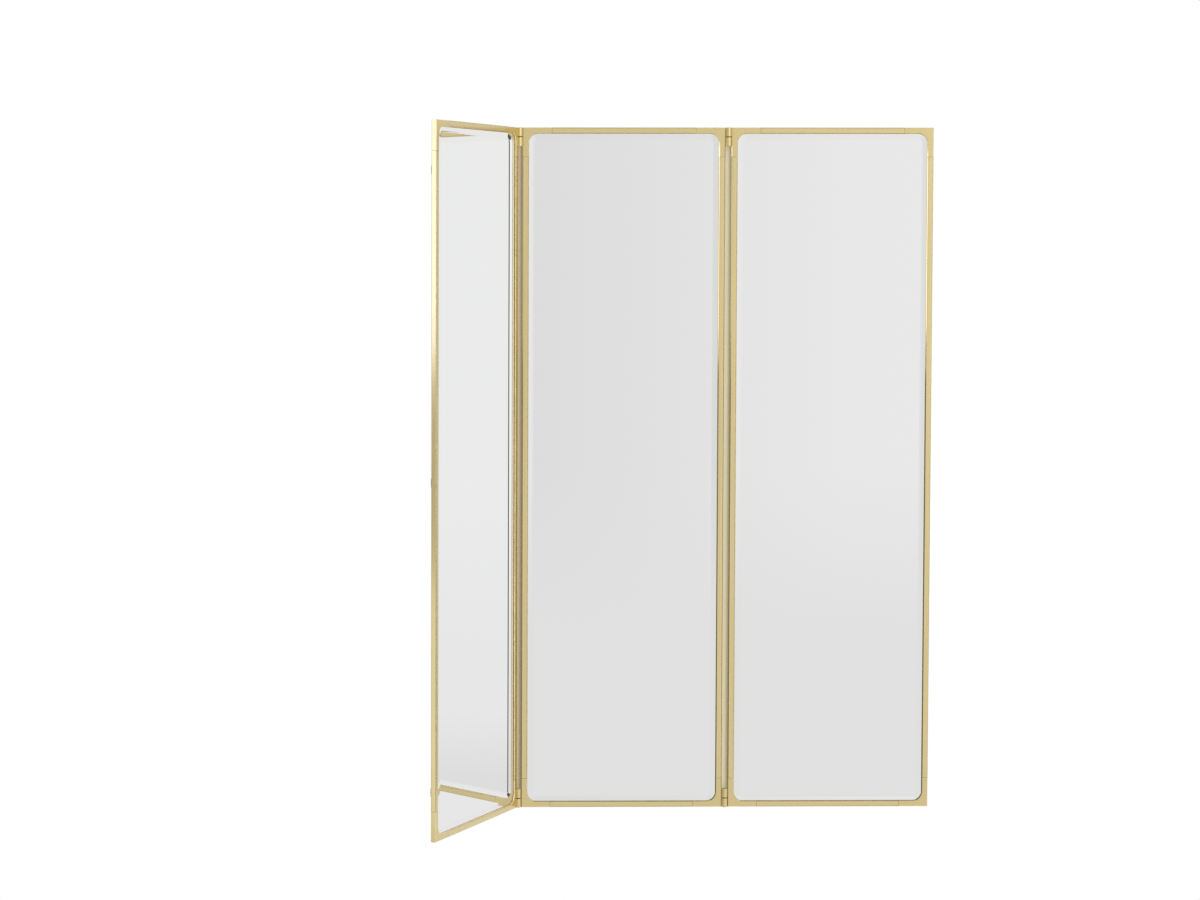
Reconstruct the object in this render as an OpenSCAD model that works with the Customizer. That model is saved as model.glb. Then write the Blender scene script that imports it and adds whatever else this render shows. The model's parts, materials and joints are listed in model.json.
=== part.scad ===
// Three-panel folding wall mirror: a fixed middle panel and a wing hinged to each of its sides.
// Every panel is a bevelled mirror in a slim brass frame of straight bars and cast corner pieces.
// Millimetres, Z up, mirror side towards -Y, wall plane at Y = 0.
// The origin is the centre of the wall screws, on the wall plane.

/* [Panels] */
// Height of each panel
panel_h = 1520; // [1000:10:1800]
// Width of each panel
panel_w = 450; // [300:5:600]
// Forward swing of the left wing from flat, in degrees
left_angle = 64; // [0:1:120]
// Forward swing of the right wing from flat, in degrees
right_angle = 0; // [0:1:120]

/* [Frame] */
// Width of the frame's front face
face_w = 14; // [12:0.5:20]
// Thickness of the front lip
lip_t = 3.2; // [2.4:0.1:5]
// Width of glass that the lip covers
lip_lap = 3; // [2:0.25:4]
// Radius of the rounded inner corners
opening_r = 20; // [14:1:36]
// Length of a corner piece along each side
corner_leg = 65; // [55:1:110]
// Chamfer on the frame's outer long edges
edge_break = 1.2; // [0.4:0.1:1.4]
// Chamfer on the lip's inner edge
lip_break = 2; // [0.4:0.1:2.2]
// Diameter of the dowel that joins a corner piece to a bar
dowel_d = 6; // [4:0.5:7]
// Length of the dowel
dowel_l = 14; // [8:1:24]
// Diameter of the set screw that locks a dowel
set_screw_d = 3; // [2.5:0.1:4]
// Width across the flats of the set screw's socket
set_screw_key = 1.5; // [1:0.1:1.9]

/* [Glass] */
// Thickness of the mirror glass
glass_t = 5; // [4:0.5:6]
// Width of the bevel around the glass
bevel_w = 15; // [8:0.5:20]
// Thickness that the bevel takes off at the glass edge
bevel_drop = 1.5; // [0.8:0.1:2.4]
// Thickness of the backing board
backing_t = 3; // [2:0.5:6]
// Depth of the frame behind the backing board
back_recess = 2; // [1:0.25:4]

/* [Offset clips] */
// Thickness of the clip strip
clip_t = 1; // [0.8:0.1:1.6]
// Width of a clip along the frame
clip_w = 18; // [10:1:30]
// Length of the clip's foot on the backing board
clip_reach = 9; // [5:0.5:16]
// Distance from the frame's outer side to the clip's end
clip_edge = 1.5; // [0.8:0.1:2.5]
// Clips on each stile
clips_per_stile = 3; // [2:1:6]
// Distance from a corner piece to the centre of the nearest clip
clip_end = 40; // [30:1:60]
// Diameter of a clip screw's shank
clip_screw_d = 3; // [2.5:0.1:3.5]
// Length of a clip screw in the frame
clip_screw_l = 6; // [4:0.5:8]
// Diameter of a clip screw's head
clip_head_d = 5.6; // [4.8:0.1:7]
// Height of a clip screw's head
clip_head_h = 1.6; // [1:0.1:2.4]

/* [Hinges] */
// Outer diameter of a hinge knuckle
knuckle_d = 13; // [11:0.5:18]
// Height of a hinge knuckle
knuckle_h = 20; // [14:0.5:24]
// Chamfer at the ends of a knuckle
knuckle_chamfer = 0.6; // [0.2:0.1:1.2]
// Closed end of a knuckle's bore
knuckle_cap = 2; // [1:0.5:4]
// Thickness of the web that joins a knuckle to its corner piece
web_t = 5; // [3:0.5:6]
// Diameter of a hinge pin
pin_d = 6; // [4:0.5:8]
// Chamfer at the ends of a hinge pin
pin_chamfer = 0.5; // [0.2:0.1:1]
// Diameter of a hinge washer
washer_d = 11.4; // [9.5:0.1:12.6]
// Thickness of a hinge washer
washer_t = 1.2; // [0.8:0.1:2]

/* [Wall fixing] */
// Thickness of the cleat bars
cleat_t = 2; // [1.5:0.25:3]
// Length of the wall cleat
wall_cleat_l = 300; // [280:10:380]
// Height of the wall cleat's flat part
wall_cleat_h = 24; // [18:1:40]
// Height of the hook on each cleat
hook_h = 14; // [10:1:20]
// Height of the mirror cleat's flat part
mirror_cleat_h = 26; // [22:1:40]
// Distance from the panel's side to the mirror cleat's end
mirror_cleat_end = 3; // [1:0.5:4]
// Distance from the stiles' upper clips down to the mirror cleat
cleat_clip_gap = 14; // [4:1:60]
// Distance between the outer wall screw holes
outer_screw_pitch = 260; // [200:10:260]
// Distance between the inner wall screw holes
inner_screw_pitch = 100; // [60:10:160]
// Diameter of a wall screw hole
wall_hole_d = 5.5; // [4:0.5:7]
// Diameter of a wall screw hole's countersink
wall_sink_d = 9; // [8:0.5:11]
// Diameter of a mirror cleat screw's shank
cleat_screw_d = 4; // [3:0.5:5]
// Length of a mirror cleat screw in the frame
cleat_screw_l = 7; // [5:0.5:9]
// Diameter of a mirror cleat screw's head
cleat_head_d = 7; // [6:0.5:8.5]
// Height of a mirror cleat screw's head
cleat_head_h = 1.8; // [1.2:0.1:2]
// Distance between the two screws at each end of the mirror cleat
cleat_screw_pitch = 12; // [9:0.5:16]
// Diameter of a wall bumper
bumper_d = 10; // [7:0.5:10.5]
// Diameter of a wall bumper where it meets the wall
bumper_tip_d = 8.8; // [6:0.1:10]
// Height of the bumpers above the panel's bottom
bumper_z = 30; // [12:1:50]

/* [Clearances] */
// Gap around the glass and the backing board
glazing_gap = 0.5; // [0.3:0.1:1]
// Gap between the glass and the lip
seat_gap = 0.05; // [0.02:0.01:0.2]
// Radial clearance of a pin in a wing's knuckle
pin_running_fit = 0.05; // [0.02:0.01:0.1]
// Radial clearance of a pin in the middle panel's knuckle
pin_held_fit = 0.02; // [0.01:0.01:0.04]
// Radial clearance of a washer on its pin
washer_fit = 0.1; // [0.05:0.05:0.5]
// Gap above a pin's upper end
pin_end_gap = 0.5; // [0.3:0.1:1]
// Vertical play of a wing above its washers
wing_play = 0.3; // [0.2:0.05:0.6]
// Gap between a knuckle and the next panel's side
knuckle_gap = 0.5; // [0.3:0.05:1]
// Radial clearance of dowels and screws in their holes
screw_fit = 0.05; // [0.02:0.01:0.1]
// Gap between a clip's step and the frame
clip_step_gap = 0.3; // [0.1:0.1:1]
// Play between the hooked cleats
cleat_play = 0.2; // [0.1:0.05:0.5]

/* [Hidden] */
$fn = 48;

// Colours
brass = "#d8c68f";
cast_brass = "#d5c28a";
mirror_silver = "#dfe1e0";
board_brown = "#6d5a45";
zinc = "#b4b6b8";
steel = "#8f9194";
black = "#26262a";

// Extra length of a cut past the face that it opens
cut = 1;
// Length of a dowel inside the leg that carries it
root = 1;
left = -1;
right = 1;

// Frame section, as depths behind the front face
wall_w = face_w - lip_lap;
bevel_slope = bevel_drop / bevel_w;
glass_field_y = lip_t + seat_gap + bevel_slope * (lip_lap - glazing_gap) - bevel_drop;
glass_rim_y = glass_field_y + bevel_drop;
glass_back_y = glass_field_y + glass_t;
board_back_y = glass_back_y + backing_t;
frame_d = board_back_y + back_recess;
dowel_y = frame_d / 2;
rebate_r = opening_r + lip_lap;
glass_inset = wall_w + glazing_gap;
glass_r = rebate_r - glazing_gap;
stile_l = panel_h - 2 * corner_leg;
rail_l = panel_w - 2 * corner_leg;

// Hinges, with heights counted from the panel's top or bottom
panel_gap = knuckle_d + 2 * knuckle_gap;
knuckle_step = knuckle_h + washer_t + wing_play;
pin_l = knuckle_step + knuckle_h - 2 * knuckle_cap - pin_end_gap;
pin_starts = [knuckle_cap, panel_h - knuckle_step - knuckle_h + knuckle_cap];
washer_starts = [knuckle_h, panel_h - knuckle_step];

// Places of the panels and of the wall fixing
wall_gap = 3 * cleat_t + 2 * cleat_play;
hook_space = cleat_t + cleat_play;
front_y = -(wall_gap + frame_d);
hinge_x = (panel_w + panel_gap) / 2;
wall_cleat_top = wall_cleat_h / 2;
hook_top = wall_cleat_top + hook_h;
mirror_cleat_top = hook_top + mirror_cleat_h;
top_z = mirror_cleat_top + cleat_clip_gap + clip_w / 2 + clip_end + corner_leg;
bottom_z = top_z - panel_h;
cleat_screw_z = (hook_top + cleat_t + mirror_cleat_top) / 2;
cleat_screw_heights = [cleat_screw_z - cleat_screw_pitch / 2, cleat_screw_z + cleat_screw_pitch / 2];
cleat_screw_x = panel_w / 2 - wall_w / 2;
cleat_holes = [for (z = cleat_screw_heights) z - bottom_z - corner_leg];
clip_pitch = (stile_l - 2 * clip_end) / (clips_per_stile - 1);
stile_clips = [for (i = [0 : clips_per_stile - 1]) clip_end + i * clip_pitch];
rail_clips = [rail_l / 2];

// Placing

module flip_x(on) {
    if (on) mirror([1, 0, 0]) children();
    else children();
}

module flip_z(on) {
    if (on) mirror([0, 0, 1]) children();
    else children();
}

// A panel stands on its bottom edge with its front face at Y = 0, centred on X.
module middle_panel() {
    translate([0, front_y, bottom_z]) children();
}

module wing(side, angle) {
    translate([side * hinge_x, front_y, bottom_z])
        rotate([0, 0, -side * angle])
            translate([side * hinge_x, 0, 0]) children();
}

module left_wing() {
    wing(left, left_angle) children();
}

module right_wing() {
    wing(right, right_angle) children();
}

// A corner piece is drawn with its outer corner at the origin and its legs along X and Z.
module at_corner(side, at_top) {
    translate([side * panel_w / 2, 0, at_top ? panel_h : 0])
        flip_x(side == right) flip_z(at_top) children();
}

// A bar is drawn with its outer side at X = 0, running up from the origin.
module at_stile(side) {
    translate([side * panel_w / 2, 0, corner_leg]) flip_x(side == right) children();
}

module at_rail(at_top) {
    translate([corner_leg - panel_w / 2, 0, at_top ? panel_h : 0])
        flip_z(at_top) mirror([1, 0, -1]) children();
}

// Extrudes an outline drawn in X and Z from depth y0 to depth y1.
module slab(y0, y1) {
    translate([0, y1, 0]) rotate([90, 0, 0]) linear_extrude(y1 - y0) children();
}

// Stands a turned piece on its side, with its axis along +Y from depth y0.
module along_y(x, y0, z) {
    translate([x, y0, z]) rotate([-90, 0, 0]) children();
}

// Outlines

module rounded_panel(inset, r) {
    w = panel_w - 2 * inset;
    h = panel_h - 2 * inset;
    translate([-w / 2, inset + r]) square([w, h - 2 * r]);
    translate([r - w / 2, inset]) square([w - 2 * r, h]);
    for (x = [r - w / 2, w / 2 - r], z = [inset + r, inset + h - r])
        translate([x, z]) circle(r);
}

// The part of a corner that lies inside the frame
module corner_opening(inset, r) {
    reach = corner_leg + cut;
    translate([inset + r, inset]) square(reach);
    translate([inset, inset + r]) square(reach);
    translate([inset + r, inset + r]) circle(r);
}

module bar_section() {
    polygon([
        [edge_break, 0],
        [face_w - lip_break, 0],
        [face_w, lip_break],
        [face_w, lip_t],
        [wall_w, lip_t],
        [wall_w, frame_d],
        [edge_break, frame_d],
        [0, frame_d - edge_break],
        [0, edge_break]
    ]);
}

module corner_block_section() {
    polygon([
        [edge_break, 0],
        [corner_leg, 0],
        [corner_leg, frame_d],
        [edge_break, frame_d],
        [0, frame_d - edge_break],
        [0, edge_break]
    ]);
}

// Turned pieces

module chamfered_rod(d, h, chamfer) {
    rotate_extrude() polygon([
        [0, 0],
        [d / 2 - chamfer, 0],
        [d / 2, chamfer],
        [d / 2, h - chamfer],
        [d / 2 - chamfer, h],
        [0, h]
    ]);
}

// A slotted pan-head screw with the underside of its head at the origin and its shank along -Z
module pan_screw(d, l, head_d, head_h) {
    slot_w = head_d / 6;
    difference() {
        rotate_extrude() polygon([
            [0, -l],
            [d / 2 - d / 8, -l],
            [d / 2, d / 8 - l],
            [d / 2, 0],
            [head_d / 2, 0],
            [head_d / 2, head_h / 2],
            [head_d / 3, head_h],
            [0, head_h]
        ]);
        translate([-head_d, -slot_w / 2, head_h / 2]) cube([2 * head_d, slot_w, head_h]);
    }
}

// Frame

module bar(length, clips, extra_screws = []) {
    hole_x = wall_w / 2;
    difference() {
        linear_extrude(length) bar_section();
        for (z = [-cut, length - dowel_l - screw_fit])
            translate([hole_x, dowel_y, z])
                cylinder(d = dowel_d + 2 * screw_fit, h = dowel_l + screw_fit + cut);
        for (z = [dowel_l / 2, length - dowel_l / 2])
            along_y(hole_x, dowel_y, z)
                cylinder(d = set_screw_d + 2 * screw_fit, h = frame_d - dowel_y + cut);
        for (z = clips)
            along_y(hole_x, frame_d - clip_screw_l, z)
                cylinder(d = clip_screw_d + 2 * screw_fit, h = clip_screw_l + cut);
        for (z = extra_screws)
            along_y(hole_x, frame_d - cleat_screw_l, z)
                cylinder(d = cleat_screw_d + 2 * screw_fit, h = cleat_screw_l + cut);
    }
}

module stile(side, extra_screws = []) {
    color(brass) at_stile(side) bar(stile_l, stile_clips, extra_screws);
}

module rail(at_top) {
    color(brass) at_rail(at_top) bar(rail_l, rail_clips);
}

module lip_chamfer_edge() {
    linear_extrude(corner_leg + cut) polygon([
        [face_w - lip_break - cut, -cut],
        [face_w + cut, -cut],
        [face_w + cut, lip_break],
        [face_w, lip_break]
    ]);
}

// Takes the sharp edge off the front of the lip, along both legs and round the inner corner.
module lip_chamfer() {
    centre = face_w + opening_r;
    translate([0, 0, centre]) lip_chamfer_edge();
    mirror([1, 0, -1]) translate([0, 0, centre]) lip_chamfer_edge();
    along_y(centre, -cut, centre)
        cylinder(h = lip_break + cut, r1 = opening_r + lip_break + cut, r2 = opening_r);
}

module corner_legs() {
    difference() {
        intersection() {
            linear_extrude(corner_leg) corner_block_section();
            mirror([1, 0, -1]) linear_extrude(corner_leg) corner_block_section();
        }
        slab(-cut, frame_d) corner_opening(face_w, opening_r);
        slab(lip_t, frame_d + cut) corner_opening(wall_w, rebate_r);
        lip_chamfer();
    }
}

module dowel() {
    translate([wall_w / 2, dowel_y, corner_leg - root]) cylinder(d = dowel_d, h = root + dowel_l);
}

// Slot 0 lies at the panel's end and slot 1 beyond it. Each bore opens towards the other slot.
module knuckle(slot, bore_r) {
    axis_x = -panel_gap / 2;
    start = slot * knuckle_step;
    bore_start = slot == 0 ? start + knuckle_cap : start - cut;
    difference() {
        union() {
            translate([axis_x, 0, start]) chamfered_rod(knuckle_d, knuckle_h, knuckle_chamfer);
            translate([axis_x, edge_break, start])
                cube([panel_gap / 2 + wall_w / 2, web_t - edge_break, knuckle_h]);
        }
        translate([axis_x, 0, bore_start])
            cylinder(r = bore_r, h = knuckle_h - knuckle_cap + cut);
    }
}

module corner_piece() {
    corner_legs();
    dowel();
    mirror([1, 0, -1]) dowel();
}

module plain_corner(side, at_top) {
    color(cast_brass) at_corner(side, at_top) corner_piece();
}

module middle_corner(side, at_top) {
    color(cast_brass) at_corner(side, at_top) {
        corner_piece();
        knuckle(at_top ? 1 : 0, pin_d / 2 + pin_held_fit);
    }
}

module wing_corner(side, at_top) {
    color(cast_brass) at_corner(side, at_top) {
        corner_piece();
        knuckle(at_top ? 0 : 1, pin_d / 2 + pin_running_fit);
    }
}

module set_screw() {
    tip = dowel_y + dowel_d / 2;
    length = frame_d - tip;
    difference() {
        along_y(0, tip, 0) cylinder(d = set_screw_d, h = length - screw_fit);
        along_y(0, tip + length / 2, 0) cylinder(d = set_screw_key, h = length, $fn = 6);
    }
}

module bar_set_screws(length) {
    for (z = [dowel_l / 2, length - dowel_l / 2]) translate([wall_w / 2, 0, z]) set_screw();
}

module set_screws() {
    color(steel) {
        for (side = [left, right]) at_stile(side) bar_set_screws(stile_l);
        for (at_top = [false, true]) at_rail(at_top) bar_set_screws(rail_l);
    }
}

// Glass and what holds it

module mirror_glass() {
    color(mirror_silver) hull() {
        slab(glass_rim_y, glass_back_y) rounded_panel(glass_inset, glass_r);
        slab(glass_field_y, glass_back_y)
            rounded_panel(glass_inset + bevel_w, max(glass_r - bevel_w, cut));
    }
}

module backing_board() {
    color(board_brown) slab(glass_back_y, board_back_y) rounded_panel(glass_inset, glass_r);
}

module offset_clip() {
    step_x = wall_w + clip_step_gap;
    difference() {
        translate([0, 0, -clip_w / 2]) linear_extrude(clip_w) polygon([
            [clip_edge, frame_d],
            [step_x, frame_d],
            [step_x, board_back_y],
            [step_x + clip_reach, board_back_y],
            [step_x + clip_reach, board_back_y + clip_t],
            [step_x + clip_t, board_back_y + clip_t],
            [step_x + clip_t, frame_d + clip_t],
            [clip_edge, frame_d + clip_t]
        ]);
        along_y(wall_w / 2, frame_d - cut, 0)
            cylinder(d = clip_screw_d + 2 * screw_fit, h = clip_t + 2 * cut);
    }
}

module at_clips() {
    for (side = [left, right], z = stile_clips) at_stile(side) translate([0, 0, z]) children();
    for (at_top = [false, true], z = rail_clips) at_rail(at_top) translate([0, 0, z]) children();
}

module offset_clips() {
    color(zinc) at_clips() offset_clip();
}

module clip_screws() {
    color(steel) at_clips()
        along_y(wall_w / 2, frame_d + clip_t, 0)
            pan_screw(clip_screw_d, clip_screw_l + clip_t - screw_fit, clip_head_d, clip_head_h);
}

// Hinge pins and washers

module hinge_pin(side, level) {
    color(steel) middle_panel()
        translate([side * hinge_x, 0, pin_starts[level]]) chamfered_rod(pin_d, pin_l, pin_chamfer);
}

module washer() {
    difference() {
        cylinder(d = washer_d, h = washer_t);
        translate([0, 0, -cut]) cylinder(d = pin_d + 2 * washer_fit, h = washer_t + 2 * cut);
    }
}

// Wall fixing

module cleat_bar(length) {
    rotate([90, 0, 90]) linear_extrude(length, center = true) children();
}

module wall_cleat() {
    sink_h = (wall_sink_d - wall_hole_d) / 2;
    hook_y = -(hook_space + cleat_t);
    color(zinc) difference() {
        cleat_bar(wall_cleat_l) polygon([
            [0, -wall_cleat_top],
            [-cleat_t, -wall_cleat_top],
            [-cleat_t, wall_cleat_top - cleat_t],
            [hook_y, wall_cleat_top - cleat_t],
            [hook_y, hook_top],
            [-hook_space, hook_top],
            [-hook_space, wall_cleat_top],
            [0, wall_cleat_top]
        ]);
        for (pitch = [outer_screw_pitch, inner_screw_pitch], side = [left, right]) {
            along_y(side * pitch / 2, -cleat_t - cut, 0) cylinder(d = wall_hole_d, h = cleat_t + 2 * cut);
            along_y(side * pitch / 2, -cleat_t, 0)
                cylinder(d1 = wall_sink_d, d2 = wall_hole_d, h = min(sink_h, cleat_t / 2));
        }
    }
}

module mirror_cleat() {
    color(zinc) difference() {
        cleat_bar(panel_w - 2 * mirror_cleat_end) polygon([
            [-wall_gap, hook_top],
            [-wall_gap, mirror_cleat_top],
            [cleat_t - wall_gap, mirror_cleat_top],
            [cleat_t - wall_gap, hook_top + cleat_t],
            [-cleat_play / 2, hook_top + cleat_t],
            [-cleat_play / 2, hook_top + cleat_t - hook_h],
            [-cleat_t - cleat_play / 2, hook_top + cleat_t - hook_h],
            [-cleat_t - cleat_play / 2, hook_top]
        ]);
        for (side = [left, right], z = cleat_screw_heights)
            along_y(side * cleat_screw_x, -wall_gap - cut, z)
                cylinder(d = cleat_screw_d + 2 * screw_fit, h = cleat_t + 2 * cut);
    }
}

module mirror_cleat_screws() {
    color(steel)
        for (side = [left, right], z = cleat_screw_heights)
            along_y(side * cleat_screw_x, cleat_t - wall_gap, z)
                pan_screw(cleat_screw_d, cleat_screw_l + cleat_t - screw_fit, cleat_head_d, cleat_head_h);
}

module wall_bumpers() {
    color(black)
        for (side = [left, right])
            along_y(side * cleat_screw_x, -wall_gap, bottom_z + bumper_z)
                cylinder(d1 = bumper_d, d2 = bumper_tip_d, h = wall_gap);
}

module hinge_washers() {
    color(black) middle_panel()
        for (side = [left, right], z = washer_starts)
            translate([side * hinge_x, 0, z]) washer();
}

// Middle panel

module middle_top_rail() { middle_panel() rail(true); }
module middle_bottom_rail() { middle_panel() rail(false); }
module middle_left_stile() { middle_panel() stile(left, cleat_holes); }
module middle_right_stile() { middle_panel() stile(right, cleat_holes); }
module middle_corner_top_left() { middle_panel() middle_corner(left, true); }
module middle_corner_top_right() { middle_panel() middle_corner(right, true); }
module middle_corner_bottom_left() { middle_panel() middle_corner(left, false); }
module middle_corner_bottom_right() { middle_panel() middle_corner(right, false); }
module middle_mirror_glass() { middle_panel() mirror_glass(); }
module middle_backing_board() { middle_panel() backing_board(); }
module middle_offset_clips() { middle_panel() offset_clips(); }
module middle_clip_screws() { middle_panel() clip_screws(); }
module middle_set_screws() { middle_panel() set_screws(); }

// Left wing, hinged on its right side

module left_wing_top_rail() { left_wing() rail(true); }
module left_wing_bottom_rail() { left_wing() rail(false); }
module left_wing_outer_stile() { left_wing() stile(left); }
module left_wing_hinge_stile() { left_wing() stile(right); }
module left_wing_corner_top_outer() { left_wing() plain_corner(left, true); }
module left_wing_corner_top_hinge() { left_wing() wing_corner(right, true); }
module left_wing_corner_bottom_outer() { left_wing() plain_corner(left, false); }
module left_wing_corner_bottom_hinge() { left_wing() wing_corner(right, false); }
module left_wing_mirror_glass() { left_wing() mirror_glass(); }
module left_wing_backing_board() { left_wing() backing_board(); }
module left_wing_offset_clips() { left_wing() offset_clips(); }
module left_wing_clip_screws() { left_wing() clip_screws(); }
module left_wing_set_screws() { left_wing() set_screws(); }

// Right wing, hinged on its left side

module right_wing_top_rail() { right_wing() rail(true); }
module right_wing_bottom_rail() { right_wing() rail(false); }
module right_wing_hinge_stile() { right_wing() stile(left); }
module right_wing_outer_stile() { right_wing() stile(right); }
module right_wing_corner_top_hinge() { right_wing() wing_corner(left, true); }
module right_wing_corner_top_outer() { right_wing() plain_corner(right, true); }
module right_wing_corner_bottom_hinge() { right_wing() wing_corner(left, false); }
module right_wing_corner_bottom_outer() { right_wing() plain_corner(right, false); }
module right_wing_mirror_glass() { right_wing() mirror_glass(); }
module right_wing_backing_board() { right_wing() backing_board(); }
module right_wing_offset_clips() { right_wing() offset_clips(); }
module right_wing_clip_screws() { right_wing() clip_screws(); }
module right_wing_set_screws() { right_wing() set_screws(); }

// Hinge pins

module left_hinge_pin_top() { hinge_pin(left, 1); }
module left_hinge_pin_bottom() { hinge_pin(left, 0); }
module right_hinge_pin_top() { hinge_pin(right, 1); }
module right_hinge_pin_bottom() { hinge_pin(right, 0); }

middle_top_rail();
middle_bottom_rail();
middle_left_stile();
middle_right_stile();
middle_corner_top_left();
middle_corner_top_right();
middle_corner_bottom_left();
middle_corner_bottom_right();
middle_mirror_glass();
middle_backing_board();
middle_offset_clips();
middle_clip_screws();
middle_set_screws();
left_wing_top_rail();
left_wing_bottom_rail();
left_wing_outer_stile();
left_wing_hinge_stile();
left_wing_corner_top_outer();
left_wing_corner_top_hinge();
left_wing_corner_bottom_outer();
left_wing_corner_bottom_hinge();
left_wing_mirror_glass();
left_wing_backing_board();
left_wing_offset_clips();
left_wing_clip_screws();
left_wing_set_screws();
right_wing_top_rail();
right_wing_bottom_rail();
right_wing_hinge_stile();
right_wing_outer_stile();
right_wing_corner_top_hinge();
right_wing_corner_top_outer();
right_wing_corner_bottom_hinge();
right_wing_corner_bottom_outer();
right_wing_mirror_glass();
right_wing_backing_board();
right_wing_offset_clips();
right_wing_clip_screws();
right_wing_set_screws();
left_hinge_pin_top();
left_hinge_pin_bottom();
right_hinge_pin_top();
right_hinge_pin_bottom();
hinge_washers();
wall_cleat();
mirror_cleat();
mirror_cleat_screws();
wall_bumpers();
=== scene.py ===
"""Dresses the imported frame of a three-panel folding wall mirror.

It adds the brass, the glass, the fittings' coats, the studio and the camera. Lengths are in metres, in the
frame's own axes: X to the right, Y into the wall and Z up.
"""

import json
import logging
import math
from abc import ABC, abstractmethod
from collections.abc import Callable, Iterator
from contextlib import contextmanager
from dataclasses import dataclass, field
from enum import Enum
from typing import Any

import bpy
from mathutils import Matrix, Vector

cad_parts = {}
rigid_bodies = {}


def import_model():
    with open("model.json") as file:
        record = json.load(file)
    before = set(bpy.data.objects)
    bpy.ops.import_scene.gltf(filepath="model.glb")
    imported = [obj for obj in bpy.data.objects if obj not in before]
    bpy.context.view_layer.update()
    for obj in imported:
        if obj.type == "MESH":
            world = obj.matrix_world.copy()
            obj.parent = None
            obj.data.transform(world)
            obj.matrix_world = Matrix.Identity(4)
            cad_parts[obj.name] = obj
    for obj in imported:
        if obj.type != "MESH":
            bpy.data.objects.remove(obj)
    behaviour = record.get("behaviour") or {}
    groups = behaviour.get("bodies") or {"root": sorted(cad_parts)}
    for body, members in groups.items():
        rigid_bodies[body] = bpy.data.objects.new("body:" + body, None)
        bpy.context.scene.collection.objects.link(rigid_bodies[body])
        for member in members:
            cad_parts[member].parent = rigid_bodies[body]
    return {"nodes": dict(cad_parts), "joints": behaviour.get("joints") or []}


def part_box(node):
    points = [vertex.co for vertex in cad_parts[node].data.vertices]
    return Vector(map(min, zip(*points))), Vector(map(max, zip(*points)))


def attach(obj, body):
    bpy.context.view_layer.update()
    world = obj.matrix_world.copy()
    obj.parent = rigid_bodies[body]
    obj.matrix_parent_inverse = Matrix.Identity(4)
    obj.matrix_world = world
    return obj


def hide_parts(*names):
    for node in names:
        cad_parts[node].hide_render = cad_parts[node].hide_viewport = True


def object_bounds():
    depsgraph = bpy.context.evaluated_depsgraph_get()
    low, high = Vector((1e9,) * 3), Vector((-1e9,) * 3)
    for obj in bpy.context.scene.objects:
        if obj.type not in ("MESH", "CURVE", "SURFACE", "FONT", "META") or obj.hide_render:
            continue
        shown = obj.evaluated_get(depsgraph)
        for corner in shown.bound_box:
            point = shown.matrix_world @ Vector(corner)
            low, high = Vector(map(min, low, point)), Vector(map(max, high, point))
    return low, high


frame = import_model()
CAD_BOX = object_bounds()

LOG = logging.getLogger("wall_mirror")
MM = 0.001

Colour = tuple[float, float, float]
Point = tuple[float, float, float]
Span = tuple[float, float]
Socket = bpy.types.NodeSocket

UNIT: Span = (0.0, 1.0)
QUARTER_TURN = math.radians(90.0)


def srgb(red: int, green: int, blue: int) -> Colour:
    """Turns a colour as it is seen into linear light.

    Args:
        red: Red, from 0 to 255.
        green: Green, from 0 to 255.
        blue: Blue, from 0 to 255.

    Returns:
        The three linear values, from 0 to 1.
    """
    toe, slope, offset, power = 0.04045, 12.92, 0.055, 2.4
    shares = (red / 255, green / 255, blue / 255)
    return tuple(s / slope if s <= toe else ((s + offset) / (1 + offset)) ** power for s in shares)


def opaque(colour: Colour) -> tuple[float, float, float, float]:
    """Adds full opacity to a colour, as colour sockets want it."""
    return (*colour, 1.0)


def grey(level: float) -> Colour:
    """Gives the grey of one linear level."""
    return (level, level, level)


class Body(Enum):
    """The bodies that pieces ride on."""

    MIDDLE = "middle_panel"
    LEFT_WING = "left_wing"
    RIGHT_WING = "right_wing"


class Slot(Enum):
    """The record's material slots."""

    BRASS = "brass"
    CAST_BRASS = "cast_brass"
    MIRROR_GLASS = "mirror_glass"
    HARDBOARD = "hardboard"
    ZINC = "zinc"
    STEEL = "steel"
    NYLON = "nylon"
    RUBBER = "rubber"


class Grain(Enum):
    """Directions in which a bar was brushed, before its panel was turned."""

    ALONG_RAIL = "x"
    ALONG_STILE = "z"


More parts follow.
